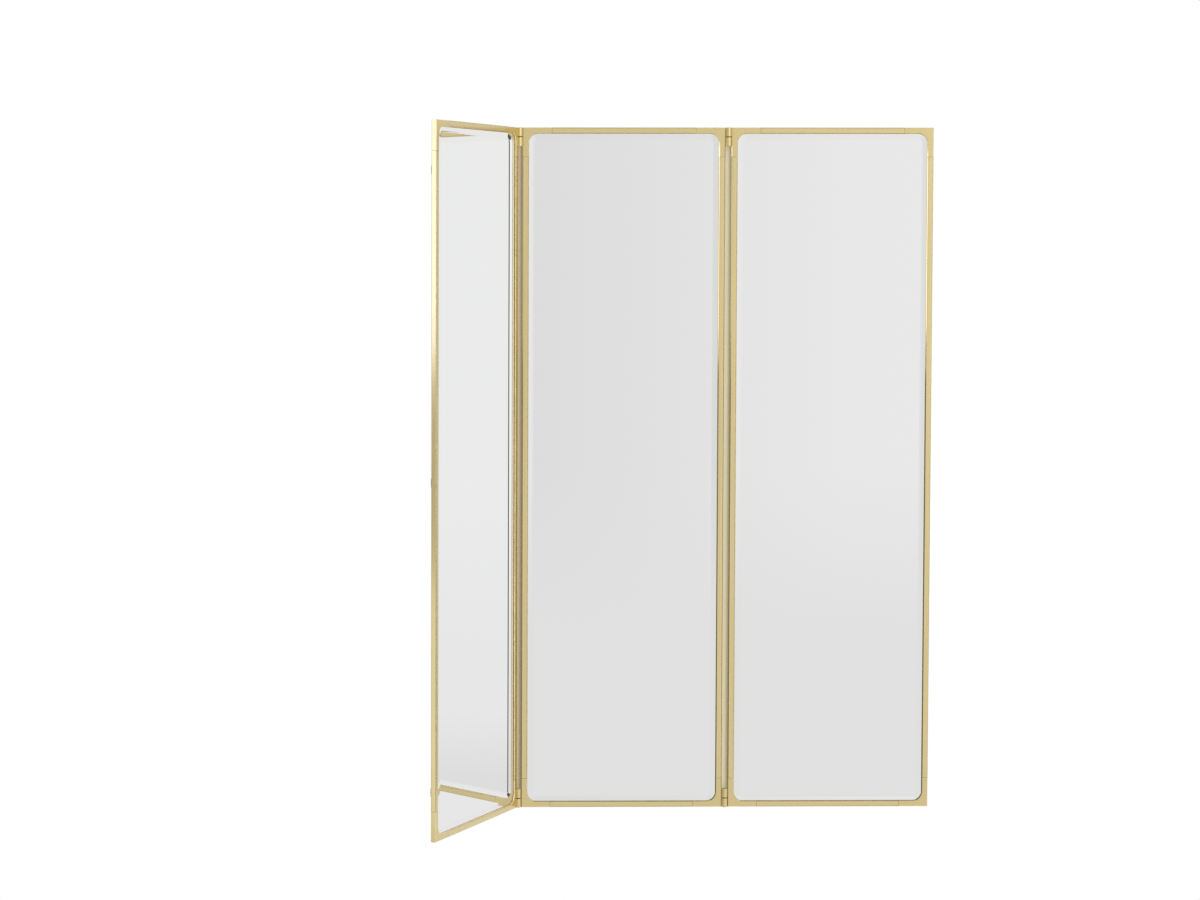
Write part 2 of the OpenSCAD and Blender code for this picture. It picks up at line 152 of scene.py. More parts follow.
class ShaderGraph:
    """A node tree with short calls that add its nodes and join them."""

    def __init__(self, tree: bpy.types.NodeTree) -> None:
        """Takes a node tree and empties it.

        Args:
            tree: The node tree of a material or of the world.
        """
        self.tree = tree
        tree.nodes.clear()

    def add(
        self,
        kind: str,
        inputs: dict[str | int, Any] | None = None,
        **settings: Any,
    ) -> bpy.types.Node:
        """Adds one node.

        Args:
            kind: The node's type name, without its ShaderNode prefix.
            inputs: Sockets by name or number, each with a value or with a socket to join.
            **settings: Properties of the node itself.

        Returns:
            The new node.
        """
        node = self.tree.nodes.new("ShaderNode" + kind)
        for name, value in settings.items():
            setattr(node, name, value)
        for key, value in (inputs or {}).items():
            if isinstance(value, Socket):
                self.tree.links.new(value, node.inputs[key])
            else:
                node.inputs[key].default_value = value
        return node

    def place(self) -> Socket:
        """Gives the shaded point in the object's own coordinates."""
        return self.add("TexCoord").outputs["Object"]

    def parts(self, vector: Socket) -> bpy.types.NodeOutputs:
        """Splits a vector into X, Y and Z."""
        return self.add("SeparateXYZ", {0: vector}).outputs

    def drawn_out(self, size: Point, rotation: Point) -> Socket:
        """Gives the shaded point in turned axes, each with a unit of its own, to draw a noise out."""
        inputs = {"Vector": self.place(), "Rotation": rotation, "Scale": size}
        return self.add("Mapping", inputs, vector_type="TEXTURE").outputs[0]

    def remap(self, value: Socket, source: Span, target: Span = UNIT) -> Socket:
        """Stretches the range between two values to a target, and holds all others within the target."""
        inputs = {0: value, 1: source[0], 2: source[1], 3: target[0], 4: target[1]}
        return self.add("MapRange", inputs).outputs[0]

    def maths(self, operation: str, *values: Any) -> Socket:
        """Adds a sum, product or the like of numbers and sockets."""
        return self.add("Math", dict(enumerate(values)), operation=operation).outputs[0]

    def vector(self, operation: str, inputs: dict[str | int, Any]) -> Socket:
        """Adds a sum, product or the like of vectors."""
        return self.add("VectorMath", inputs, operation=operation).outputs[0]

    def share(self, first: Socket, second: Socket, part: float) -> Socket:
        """Adds a part of one value to the rest of another."""
        kept = self.maths("MULTIPLY", first, part)
        return self.maths("ADD", kept, self.maths("MULTIPLY", second, 1.0 - part))

    def window(self, value: Socket, span: Span, soft: float) -> Socket:
        """Tells whether a value lies in a range.

        Args:
            value: The value.
            span: Lower and upper end of the range.
            soft: Stretch over which the answer fades outside the range.

        Returns:
            1 within the range and 0 well outside it.
        """
        low, high = span
        above = self.remap(value, (low - soft, low))
        below = self.remap(value, (high, high + soft), (1.0, 0.0))
        return self.maths("MULTIPLY", above, below)

    def blend(self, share: Any, first: Any, second: Any) -> Socket:
        """Mixes two colours.

        Args:
            share: How much of the second colour there is, from 0 to 1.
            first: The first colour, or a socket.
            second: The second colour, or a socket.

        Returns:
            The mixed colour.
        """
        node = self.add("Mix", data_type="RGBA")
        for key, value in (("Factor_Float", share), ("A_Color", first), ("B_Color", second)):
            socket = next(s for s in node.inputs if s.identifier == key)
            if isinstance(value, Socket):
                self.tree.links.new(value, socket)
            else:
                socket.default_value = value
        return next(s for s in node.outputs if s.identifier == "Result_Color")

    def bump(self, height: Socket, depth: float, relief: float) -> Socket:
        """Turns a height from 0 to 1 into a relief of some depth, of which a share shows."""
        node = self.add("Bump", {"Height": height, "Distance": depth, "Strength": relief})
        return node.outputs["Normal"]

    def surface(self, inputs: dict[str, Any]) -> None:
        """Ends a material in one Principled shader with these inputs."""
        shader = self.add("BsdfPrincipled", inputs)
        self.add("OutputMaterial", {"Surface": shader.outputs[0]})


@dataclass(frozen=True)
class Mottle:
    """Soft noise, and the part of its range that counts.

    Attributes:
        scale: Blotches for each metre, or for each length to which the place is drawn out.
        detail: How many finer layers lie on the first.
        source: Two values of the noise.
        target: What these two become; it holds all other values between them.
    """

    scale: float
    detail: float = 2.0
    source: Span = (0.3, 0.7)
    target: Span = UNIT

    def noise(self, graph: ShaderGraph, place: Socket | None = None) -> Socket:
        """Adds the plain noise, at the shaded point if no other place is given."""
        vector = graph.place() if place is None else place
        inputs = {"Vector": vector, "Scale": self.scale, "Detail": self.detail}
        return graph.add("TexNoise", inputs).outputs["Fac"]

    def stretch(self, graph: ShaderGraph, noise: Socket) -> Socket:
        """Stretches plain noise to the target."""
        return graph.remap(noise, self.source, self.target)

    def draw(self, graph: ShaderGraph, place: Socket | None = None) -> Socket:
        """Adds the noise and stretches it to the target."""
        return self.stretch(graph, self.noise(graph, place))


@dataclass(frozen=True)
class Finish(ABC):
    """A surface finish, made a material once and then shared.

    Attributes:
        name: The material's name.
    """

    name: str

    @abstractmethod
    def shade(self, graph: ShaderGraph) -> None:
        """Builds the finish in an empty node tree.

        Args:
            graph: The material's node tree.
        """

    def material(self) -> bpy.types.Material:
        """Gives the finish's material, and makes it on the first call."""
        made = bpy.data.materials.get(self.name)
        if made is None:
            made = bpy.data.materials.new(self.name)
            made.use_nodes = True
            self.shade(ShaderGraph(made.node_tree))
        return made


@dataclass(frozen=True)
class Mottled(Finish):
    """A surface in two colours that run into each other, with a fine grain.

    Attributes:
        first: The first colour.
        second: The second colour.
        tone: Noise that gives the share of the second colour.
        grain: Noise of the grain, stretched to the lowest and highest roughness.
        metallic: Share of metal.
        depth: Depth of the grain, or 0 for none.
        relief: Share of the depth that shows.
        handling: Noise of the roughness that hands have added, if any.
    """

    first: Colour
    second: Colour
    tone: Mottle
    grain: Mottle
    metallic: float = 0.0
    depth: float = 0.0
    relief: float = 0.5
    handling: Mottle | None = None

    def shade(self, graph: ShaderGraph) -> None:
        """Builds the two colours and the grain."""
        grain = self.grain.noise(graph)
        rough = self.grain.stretch(graph, grain)
        if self.handling is not None:
            rough = graph.maths("ADD", rough, self.handling.draw(graph))
        inputs = {
            "Base Color": graph.blend(self.tone.draw(graph), opaque(self.first), opaque(self.second)),
            "Metallic": self.metallic,
            "Roughness": rough,
        }
        if self.depth:
            inputs["Normal"] = graph.bump(grain, self.depth, self.relief)
        graph.surface(inputs)


@dataclass(frozen=True)
class BrushedBrass(Finish):
    """Satin brass with brush lines along a bar.

    Attributes:
        grain: Direction of the lines.
        turn: Turn of the panel about Z that the lines follow.
        warm: Colour of the warmer streaks.
        cool: Colour of the greener streaks.
        line: Length and width of a brush line.
        lines: Noise of the lines, stretched to the lowest and highest roughness.
        streak: Length and width of the broad streaks of colour.
        streaks: Noise of the streaks.
        handling: Noise of the roughness that hands have added.
        depth: Depth of the deepest line.
        relief: Share of the depth that shows.
    """

    grain: Grain = Grain.ALONG_STILE
    turn: float = 0.0
    warm: Colour = srgb(229, 208, 157)
    cool: Colour = srgb(219, 203, 148)
    line: Span = (0.2, 0.0006)
    lines: Mottle = Mottle(1.0, 4.0, target=(0.16, 0.24))
    streak: Span = (0.35, 0.005)
    streaks: Mottle = Mottle(1.0, source=(0.35, 0.65))
    handling: Mottle = Mottle(31.0, 3.0, (0.55, 0.8), (0.0, 0.05))
    depth: float = 0.0000015
    relief: float = 0.6

    def shade(self, graph: ShaderGraph) -> None:
        """Builds the brushed surface."""
        lines = self.lines.noise(graph, self._along(graph, *self.line))
        tone = self.streaks.draw(graph, self._along(graph, *self.streak))
        rough = graph.maths("ADD", self.lines.stretch(graph, lines), self.handling.draw(graph))
        graph.surface({
            "Base Color": graph.blend(tone, opaque(self.warm), opaque(self.cool)),
            "Metallic": 1.0,
            "Roughness": rough,
            "Normal": graph.bump(lines, self.depth, self.relief),
        })

    def _along(self, graph: ShaderGraph, length: float, width: float) -> Socket:
        """Gives the shaded point, drawn out along the bar to streaks of one length and width."""
        on_rail = self.grain is Grain.ALONG_RAIL
        size = (length, width, width) if on_rail else (width, width, length)
        return graph.drawn_out(size, (0.0, 0.0, self.turn))


@dataclass(frozen=True)
class TopLitChamfer(Finish):
    """The chamfers that face left, with a painted highlight towards the top and painted shade further down;
    they are also glossier towards the top.

    Attributes:
        lit_colour: Colour of the painted highlight at the top.
        shaded_colour: Colour of the painted shade lower down.
        fades: Heights in the frame where the painted highlight begins and where it is full.
        wander: Noise that moves the edge of the painted highlight up and down.
        roughness: Roughness of the lower part and of the upper one.
    """

    lit_colour: Colour = srgb(240, 224, 176)
    shaded_colour: Colour = srgb(122, 109, 78)
    fades: Span = (-0.39, -0.27)
    wander: Mottle = Mottle(22.0, 3.0, target=(-0.02, 0.02))
    roughness: Span = (0.24, 0.1)

    def shade(self, graph: ShaderGraph) -> None:
        """Builds the chamfer with its painted highlight and painted shade."""
        height = graph.maths("ADD", graph.parts(graph.place())["Z"], self.wander.draw(graph))
        # Painted light: lighter towards the top and darker lower down, by height in the frame.
        painted_sheen = graph.remap(height, self.fades)
        graph.surface({
            "Base Color": graph.blend(painted_sheen, opaque(self.shaded_colour), opaque(self.lit_colour)),
            "Metallic": 1.0,
            "Roughness": graph.remap(painted_sheen, UNIT, self.roughness),
        })


@dataclass(frozen=True)
class Silvering(Finish):
    """Polished glass over silver, with faint traces of wiping.

    Attributes:
        silver: Colour of the reflection.
        wipe: Size of a trace along each axis.
        wipe_turn: Turn of the axes.
        traces: Noise of the traces, stretched to the roughness that they leave.
    """

    silver: Colour = (0.872, 0.877, 0.872)
    wipe: Point = (0.5, 0.5, 0.16)
    wipe_turn: Point = (0.0, 0.5, 0.0)
    traces: Mottle = Mottle(3.0, 4.0, (0.52, 0.8), (0.0, 0.012))

    def shade(self, graph: ShaderGraph) -> None:
        """Builds the mirror surface."""
        graph.surface({
            "Base Color": opaque(self.silver),
            "Metallic": 1.0,
            "Roughness": self.traces.draw(graph, graph.drawn_out(self.wipe, self.wipe_turn)),
        })


@dataclass(frozen=True)
class BevelledSilvering(Finish):
    """Silver under the bevel of the glass.

    Light passes the wedge of the bevel twice and leaves bent away from the bevel's own slope, so the
    shading normal leans to the other side of the flat's normal, by the glass's refraction.

    Attributes:
        silver: Colour of the reflection.
        flat_normal: Normal of the flat part of the glass, in the frame's axes.
        refraction: Refractive index of the glass, less one.
        traces: Noise of the wiping, stretched to the roughness that it leaves.
    """

    silver: Colour = (0.86, 0.862, 0.852)
    flat_normal: Point = (0.0, -1.0, 0.0)
    refraction: float = 0.52
    traces: Mottle = Mottle(9.0, 4.0, (0.5, 0.8), (0.0, 0.012))

    def shade(self, graph: ShaderGraph) -> None:
        """Builds the surface of the bevel."""
        settings = {"vector_type": "NORMAL", "convert_from": "OBJECT", "convert_to": "WORLD"}
        flat = graph.add("VectorTransform", {0: self.flat_normal}, **settings).outputs[0]
        slope = graph.add("NewGeometry").outputs["Normal"]
        lean = graph.vector("SUBTRACT", {0: flat, 1: slope})
        bent = graph.vector("ADD", {0: flat, 1: graph.vector("SCALE", {0: lean, "Scale": self.refraction})})
        graph.surface({
            "Base Color": opaque(self.silver),
            "Metallic": 1.0,
            "Roughness": self.traces.draw(graph),
            "Normal": graph.vector("NORMALIZE", {0: bent}),
        })


@dataclass(frozen=True)
class Hardboard(Finish):
    """Pressed brown fibre board with the mark of the press's screen.

    Attributes:
        dark: Colour of the darkest fibres.
        light: Colour of the lightest fibres.
        contrast: Values of the mixed noise that give these two.
        fibres: Noise of the fibres, stretched to the lowest and highest roughness.
        clouds: Noise of the broad light and dark patches.
        screen_pitch: Distance between the wires of the screen.
        screen_depth: Depth of the screen's mark.
        screen_share: The screen's share in the relief; the fibres have the rest.
        relief: Share of the depth that shows.
    """

    dark: Colour = srgb(92, 70, 50)
    light: Colour = srgb(136, 110, 82)
    contrast: Span = (0.35, 0.65)
    fibres: Mottle = Mottle(700.0, 4.0, target=(0.62, 0.85))
    clouds: Mottle = Mottle(24.0, 3.0)
    screen_pitch: float = 0.0022
    screen_depth: float = 0.00016
    screen_share: float = 0.6
    relief: float = 0.8

    def shade(self, graph: ShaderGraph) -> None:
        """Builds the fibre board."""
        turns = 2.0 * math.pi / self.screen_pitch
        place = graph.parts(graph.place())
        wires = [graph.maths("SINE", graph.maths("MULTIPLY", place[axis], turns)) for axis in "XZ"]
        screen = graph.remap(graph.maths("MULTIPLY", *wires), (-1.0, 1.0))
        fibres = self.fibres.noise(graph)
        tone = graph.remap(graph.share(fibres, self.clouds.noise(graph), 0.5), self.contrast)
        height = graph.share(screen, fibres, self.screen_share)
        graph.surface({
            "Base Color": graph.blend(tone, opaque(self.dark), opaque(self.light)),
            "Roughness": self.fibres.stretch(graph, fibres),
            "Normal": graph.bump(height, self.screen_depth, self.relief),
        })


@dataclass(frozen=True)
class ZincPlate(Finish):
    """Zinc on steel, with the flowered crystals of a dipped or plated coat.

    Attributes:
        dark: Colour of the darkest crystals.
        light: Colour of the lightest crystals.
        crystal: Size of a crystal.
        crystal_share: The crystals' share in the tone; the fine grain has the rest.
        grain: Noise of the fine grain.
        contrast: Values of the tone that give the lowest and highest roughness.
        roughness: Lowest and highest roughness.
        depth: Depth of the grain.
        relief: Share of the depth that shows.
    """

    dark: Colour = srgb(158, 162, 166)
    light: Colour = srgb(206, 209, 211)
    crystal: float = 0.006
    crystal_share: float = 0.6
    grain: Mottle = Mottle(900.0, 3.0)
    contrast: Span = (0.2, 0.8)
    roughness: Span = (0.28, 0.46)
    depth: float = 0.00001
    relief: float = 0.5

    def shade(self, graph: ShaderGraph) -> None:
        """Builds the zinc coat."""
        cells = graph.add("TexVoronoi", {"Vector": graph.place(), "Scale": 1.0 / self.crystal})
        crystals = graph.add("SeparateColor", {0: cells.outputs["Color"]}).outputs[0]
        grain = self.grain.noise(graph)
        tone = graph.share(crystals, grain, self.crystal_share)
        graph.surface({
            "Base Color": graph.blend(tone, opaque(self.dark), opaque(self.light)),
            "Metallic": 1.0,
            "Roughness": graph.remap(tone, self.contrast, self.roughness),
            "Normal": graph.bump(grain, self.depth, self.relief),
        })


def turned_steel(name: str, mark: float) -> Mottled:
    """Gives the plain steel of pins or screws, with turning marks.

    Args:
        name: The material's name.
        mark: Distance between the marks.

    Returns:
        The finish.
    """
    return Mottled(
        name,
        first=srgb(150, 152, 155),
        second=srgb(196, 198, 200),
        tone=Mottle(300.0, 3.0, (0.35, 0.7), (1.0, 0.0)),
        grain=Mottle(1.0 / mark, target=(0.2, 0.34)),
        metallic=1.0,
        depth=0.000006,
    )


def black_moulding(name: str, colours: tuple[Colour, Colour], roughness: Span, texture: float) -> Mottled:
    """Gives black moulded plastic or rubber.

    Args:
        name: The material's name.
        colours: Colour of the moulding, and colour where dust clings.
        roughness: Lowest and highest roughness.
        texture: Size of the moulded texture.

    Returns:
        The finish.
    """
    return Mottled(
        name,
        *colours,
        tone=Mottle(240.0, 3.0, (0.5, 0.75)),
        grain=Mottle(1.0 / texture, target=roughness),
        depth=0.00003,
        relief=0.6,
    )


CASTING = Mottled(
    "brass_casting",
    first=srgb(224, 203, 150),
    second=srgb(221, 204, 148),
    tone=Mottle(16.0, source=(0.35, 0.65)),
    grain=Mottle(1.0 / 0.0012, 3.0, target=(0.17, 0.25)),
    metallic=1.0,
    depth=0.0000015,
    handling=Mottle(40.0, 3.0, (0.55, 0.8), (0.0, 0.07)),
)
ARRIS = Mottled(
    "brass_arris",
    first=srgb(222, 202, 148),
    second=srgb(236, 219, 168),
    tone=Mottle(60.0, 3.0, (0.4, 0.6)),
    grain=Mottle(60.0, 3.0, (0.4, 0.6), (0.16, 0.08)),
    metallic=1.0,
)
# Dark brass of the joints' grooves; on the lip's wall against the glass the same dark colour is painted
# shade.
SEAM_AND_SHADE = Mottled(
    "brass_seam_and_painted_shade",
    first=srgb(178, 156, 108),
    second=srgb(128, 107, 72),
    tone=Mottle(260.0, 3.0, (0.35, 0.6)),
    grain=Mottle(260.0, 3.0, target=(0.4, 0.6)),
    metallic=0.7,
)
GLASS_EDGE = Mottled(
    "glass_ground_edge",
    first=srgb(176, 200, 188),
    second=srgb(200, 216, 207),
    tone=Mottle(1400.0, source=UNIT),
    grain=Mottle(1400.0, target=(0.3, 0.5)),
    depth=0.00003,
)
BACK_PAINT = Mottled(
    "glass_back_paint",
    first=srgb(112, 118, 114),
    second=srgb(122, 127, 122),
    tone=Mottle(420.0, source=UNIT),
    grain=Mottle(420.0, target=(0.42, 0.56)),
    depth=0.00004,
)
# Painted highlight at the top and painted shade lower down, on the chamfers that face left.
TOP_LIT_CHAMFER = TopLitChamfer("brass_chamfer_painted_light")
SILVER = Silvering("mirror_silver")
BOARD = Hardboard("hardboard")
CLIP_ZINC = ZincPlate("clip_zinc", crystal=0.0025)
CLEAT_ZINC = ZincPlate("cleat_zinc")
SCREW_STEEL = turned_steel("screw_steel", 0.0003)
PIN_STEEL = turned_steel("pin_steel", 0.0005)
NYLON = black_moulding("black_nylon", (srgb(34, 34, 37), srgb(52, 51, 50)), (0.38, 0.52), 0.0006)
RUBBER = black_moulding("black_rubber", (srgb(38, 37, 37), srgb(70, 68, 66)), (0.66, 0.86), 0.0012)


def activate(piece: bpy.types.Object) -> None:
    """Makes a piece the only selected one, and the one that operators work on."""
    bpy.ops.object.select_all(action="DESELECT")
    piece.select_set(True)
    bpy.context.view_layer.objects.active = piece


@contextmanager
def editing(piece: bpy.types.Object, kind: str) -> Iterator[None]:
    """Opens a piece in edit mode and closes it again.

    Args:
        piece: The piece to edit.
        kind: What is selected, VERT, EDGE or FACE.

    Yields:
        Nothing; the piece is in edit mode meanwhile.
    """
    activate(piece)
    bpy.ops.object.mode_set(mode="EDIT")
    bpy.ops.mesh.select_mode(type=kind)
    yield
    bpy.ops.object.mode_set(mode="OBJECT")


def choose(items: Any, wanted: Callable[[Any], bool]) -> None:
    """Selects the vertices, edges or faces of a mesh that pass a test, and nothing else of that kind."""
    for item in items:
        item.select = wanted(item)


def clear_choice(mesh: bpy.types.Mesh) -> None:
    """Deselects every vertex, edge and face of a mesh."""
    for items in (mesh.vertices, mesh.edges, mesh.polygons):
        choose(items, lambda item: False)


def apply_all(piece: bpy.types.Object) -> None:
    """Applies a piece's modifiers in their order."""
    activate(piece)
    for name in [modifier.name for modifier in piece.modifiers]:
        bpy.ops.object.modifier_apply(modifier=name)


@dataclass(frozen=True)
class EdgeBreak:
    """How a piece's sharp edges are rounded, and its joints grooved.

    Attributes:
        width: Width of the rounding.
        segments: Faces across the rounding.
        sharper_than: Least angle between two faces that is rounded.
        smooth_below: Greatest angle that is shaded as one surface.
        seam_width: Width of the chamfer on each side of a joint.
    """

    width: float = 0.2 * MM
    segments: int = 2
    sharper_than: float = math.radians(35.0)
    smooth_below: float = math.radians(38.0)
    seam_width: float = 0.28 * MM

    def groove(self, piece: bpy.types.Object, on_joint: Callable[[Vector], bool], seam_and_shade: int) -> None:
        """Chamfers the edges that lie on a joint.

        Args:
            piece: The piece, as a merged mesh.
            on_joint: Tells whether a point lies on a joint.
            seam_and_shade: Number of the material that the chamfer takes.
        """
        mesh = piece.data
        jointed = [on_joint(vertex.co) for vertex in mesh.vertices]
        clear_choice(mesh)
        choose(mesh.edges, lambda edge: all(jointed[number] for number in edge.vertices))
        with editing(piece, "EDGE"):
            bpy.ops.mesh.bevel(offset=self.seam_width, segments=1, affect="EDGES", material=seam_and_shade)

    def round(self, piece: bpy.types.Object, arris: int, seam_and_shade: int) -> None:
        """Rounds the sharp edges of a piece, but not those of its seams, and gives it even shading.

        Args:
            piece: The piece, as a merged mesh.
            arris: Number of the material that the rounded faces take.
            seam_and_shade: Number of the material of the seams, which also paints shade on the lip's wall.
        """
        mesh = piece.data
        clear_choice(mesh)
        with editing(piece, "EDGE"):
            bpy.ops.mesh.edges_select_sharp(sharpness=self.sharper_than)
        grooves = {key for face in mesh.polygons if face.material_index == seam_and_shade for key in face.edge_keys}
        sharp = {edge.key for edge in mesh.edges if edge.select}
        clear_choice(mesh)
        choose(mesh.edges, lambda edge: edge.key in sharp and edge.key not in grooves)
        with editing(piece, "EDGE"):
            bpy.ops.mesh.bevel(
                offset=self.width,
                segments=self.segments,
                affect="EDGES",
                clamp_overlap=True,
                material=arris,
            )
        activate(piece)
        bpy.ops.object.shade_smooth_by_angle(angle=self.smooth_below)
        weighting = piece.modifiers.new("weighting", "WEIGHTED_NORMAL")
        weighting.keep_sharp = True
        apply_all(piece)


@dataclass(frozen=True)
class Layout:
    """Where the joints, the front chamfers and the lip of one panel lie.

    Attributes:
        flatten: Carries a point of the panel to the middle panel's place.
        ends_x: Places of the upright joints across the middle panel.
        ends_z: Heights of the level joints.
        front_y: Depth of the middle panel's front.
        top_lit: Whether the chamfers that face left take the painted highlight at the top and the painted
            shade below.
        chamfer_depth: Greatest depth of a front chamfer.
        lip_depth: Greatest depth of the lip's wall.
        chamfer_slope: How far forward a front chamfer faces, where 1 is straight forward.
        least_left: How far left a chamfer faces at least, if it counts as facing left.
        slack: How far off a part of a face's normal may be.
        tolerance: How far off a point may lie.
    """

    flatten: Matrix
    ends_x: Span
    ends_z: Span
    front_y: float
    top_lit: bool
    chamfer_depth: float = 2.1 * MM
    lip_depth: float = 3.3 * MM
    chamfer_slope: float = math.cos(math.radians(45.0))
    least_left: float = 0.3
    slack: float = 0.01
    tolerance: float = 0.02 * MM

    def on_joint(self, point: Vector) -> bool:
        """Tells whether a point lies on one of the four planes where bars meet corner pieces."""
        flat = self.flatten @ point
        steps = [abs(flat.x - x) for x in self.ends_x] + [abs(flat.z - z) for z in self.ends_z]
        return min(steps) < self.tolerance

    def on_chamfer(self, face: bpy.types.MeshPolygon) -> bool:
        """Tells whether a face is a chamfer at the panel's front, facing half forward."""
        half_forward = abs(self._forward(face) - self.chamfer_slope) < self.slack
        return half_forward and self.tolerance < self._depth(face) < self.chamfer_depth

    def faces_left(self, face: bpy.types.MeshPolygon) -> bool:
        """Tells whether a chamfer faces left, seen from the panel's front."""
        return (self.flatten.to_3x3() @ face.normal).x < -self.least_left

    def on_lip(self, face: bpy.types.MeshPolygon) -> bool:
        """Tells whether a face is the lip's wall, between its chamfer and the glass."""
        sideways = abs(self._forward(face)) < self.slack
        return sideways and self.chamfer_depth < self._depth(face) < self.lip_depth

    def _depth(self, face: bpy.types.MeshPolygon) -> float:
        """Gives the depth of a face's centre behind the panel's front."""
        return (self.flatten @ face.center).y - self.front_y

    def _forward(self, face: bpy.types.MeshPolygon) -> float:
        """Gives how far forward a face is turned, where 1 is straight forward."""
        return -(self.flatten.to_3x3() @ face.normal).y


@dataclass(frozen=True)
class Dressing:
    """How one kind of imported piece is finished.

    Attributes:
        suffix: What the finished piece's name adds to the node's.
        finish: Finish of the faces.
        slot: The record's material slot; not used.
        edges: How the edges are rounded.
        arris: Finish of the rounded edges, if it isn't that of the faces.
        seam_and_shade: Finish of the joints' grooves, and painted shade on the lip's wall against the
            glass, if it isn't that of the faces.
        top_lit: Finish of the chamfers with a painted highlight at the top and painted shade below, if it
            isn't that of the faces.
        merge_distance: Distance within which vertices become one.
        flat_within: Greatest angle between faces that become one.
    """

    suffix: str
    finish: Finish
    slot: Slot
    edges: EdgeBreak = EdgeBreak()
    arris: Finish | None = None
    seam_and_shade: Finish | None = None
    top_lit: Finish | None = None
    merge_distance: float = 0.001 * MM
    flat_within: float = math.radians(0.2)

    def dress(self, node: str, body: Body, layout: Layout | None = None) -> bpy.types.Object:
        """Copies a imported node, cleans its mesh, works its edges and gives it its finish.

        Args:
            node: Name of the node that the piece stands for.
            body: The body that it rides on.
            layout: Where the joints and chamfers of the piece's panel lie, if it is part of the frame.

        Returns:
            The finished piece.
        """
        mesh = frame["nodes"][node].data.copy()
        piece = bpy.data.objects.new(f"{node}_{self.suffix}", mesh)
        bpy.context.scene.collection.objects.link(piece)
        mesh.materials.clear()
        face, arris, seam_and_shade, top_lit = range(4)
        for finish in (self.finish, self.arris, self.seam_and_shade, self.top_lit):
            mesh.materials.append((finish or self.finish).material())
        for polygon in mesh.polygons:
            polygon.material_index = face
        activate(piece)
        bpy.ops.mesh.customdata_custom_splitnormals_clear()
        with editing(piece, "VERT"):
            bpy.ops.mesh.select_all(action="SELECT")
            bpy.ops.mesh.remove_doubles(threshold=self.merge_distance)
            bpy.ops.mesh.dissolve_limited(angle_limit=self.flat_within)
        if layout is not None:
            for polygon in mesh.polygons:
                if layout.on_chamfer(polygon):
                    # Chamfers that face left on an unturned panel take the painted highlight and shade;
                    # other chamfers are plain arrises.
                    is_top_lit = layout.top_lit and layout.faces_left(polygon)
                    polygon.material_index = top_lit if is_top_lit else arris
                # Painted shade: the lip's wall in the crease against the glass takes the seams' dark brass.
                if layout.on_lip(polygon):
                    polygon.material_index = seam_and_shade
            self.edges.groove(piece, layout.on_joint, seam_and_shade)
        self.edges.round(piece, arris, seam_and_shade)
        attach(piece, body.value)
        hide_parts(node)
        LOG.info("%s: %d faces", piece.name, len(mesh.polygons))
        return piece


BRASS_EDGE = EdgeBreak(width=0.22 * MM)
FINE_EDGE = EdgeBreak(width=0.12 * MM)
CAST_CORNER = Dressing("casting", CASTING, Slot.CAST_BRASS, BRASS_EDGE, ARRIS, SEAM_AND_SHADE, TOP_LIT_CHAMFER)
BACK_BOARD = Dressing("panel", BOARD, Slot.HARDBOARD)
CLIP = Dressing("plated", CLIP_ZINC, Slot.ZINC, FINE_EDGE)
SCREW = Dressing("turned", SCREW_STEEL, Slot.STEEL, FINE_EDGE)
PIN = Dressing("turned", PIN_STEEL, Slot.STEEL, FINE_EDGE)
CLEAT = Dressing("pressed", CLEAT_ZINC, Slot.ZINC)
WASHER = Dressing("moulded", NYLON, Slot.NYLON, FINE_EDGE)
BUMPER = Dressing("moulded", RUBBER, Slot.RUBBER, EdgeBreak(width=0.4 * MM))

PANEL_FITTINGS = {
    "backing_board": BACK_BOARD,
    "offset_clips": CLIP,
    "clip_screws": SCREW,
    "set_screws": SCREW,
}
MIDDLE_FITTINGS = {
    "left_hinge_pin_bottom": PIN,
    "left_hinge_pin_top": PIN,
    "right_hinge_pin_bottom": PIN,
    "right_hinge_pin_top": PIN,
    "hinge_washers": WASHER,
    "wall_cleat": CLEAT,
    "mirror_cleat": CLEAT,
    "mirror_cleat_screws": SCREW,
    "wall_bumpers": BUMPER,
}


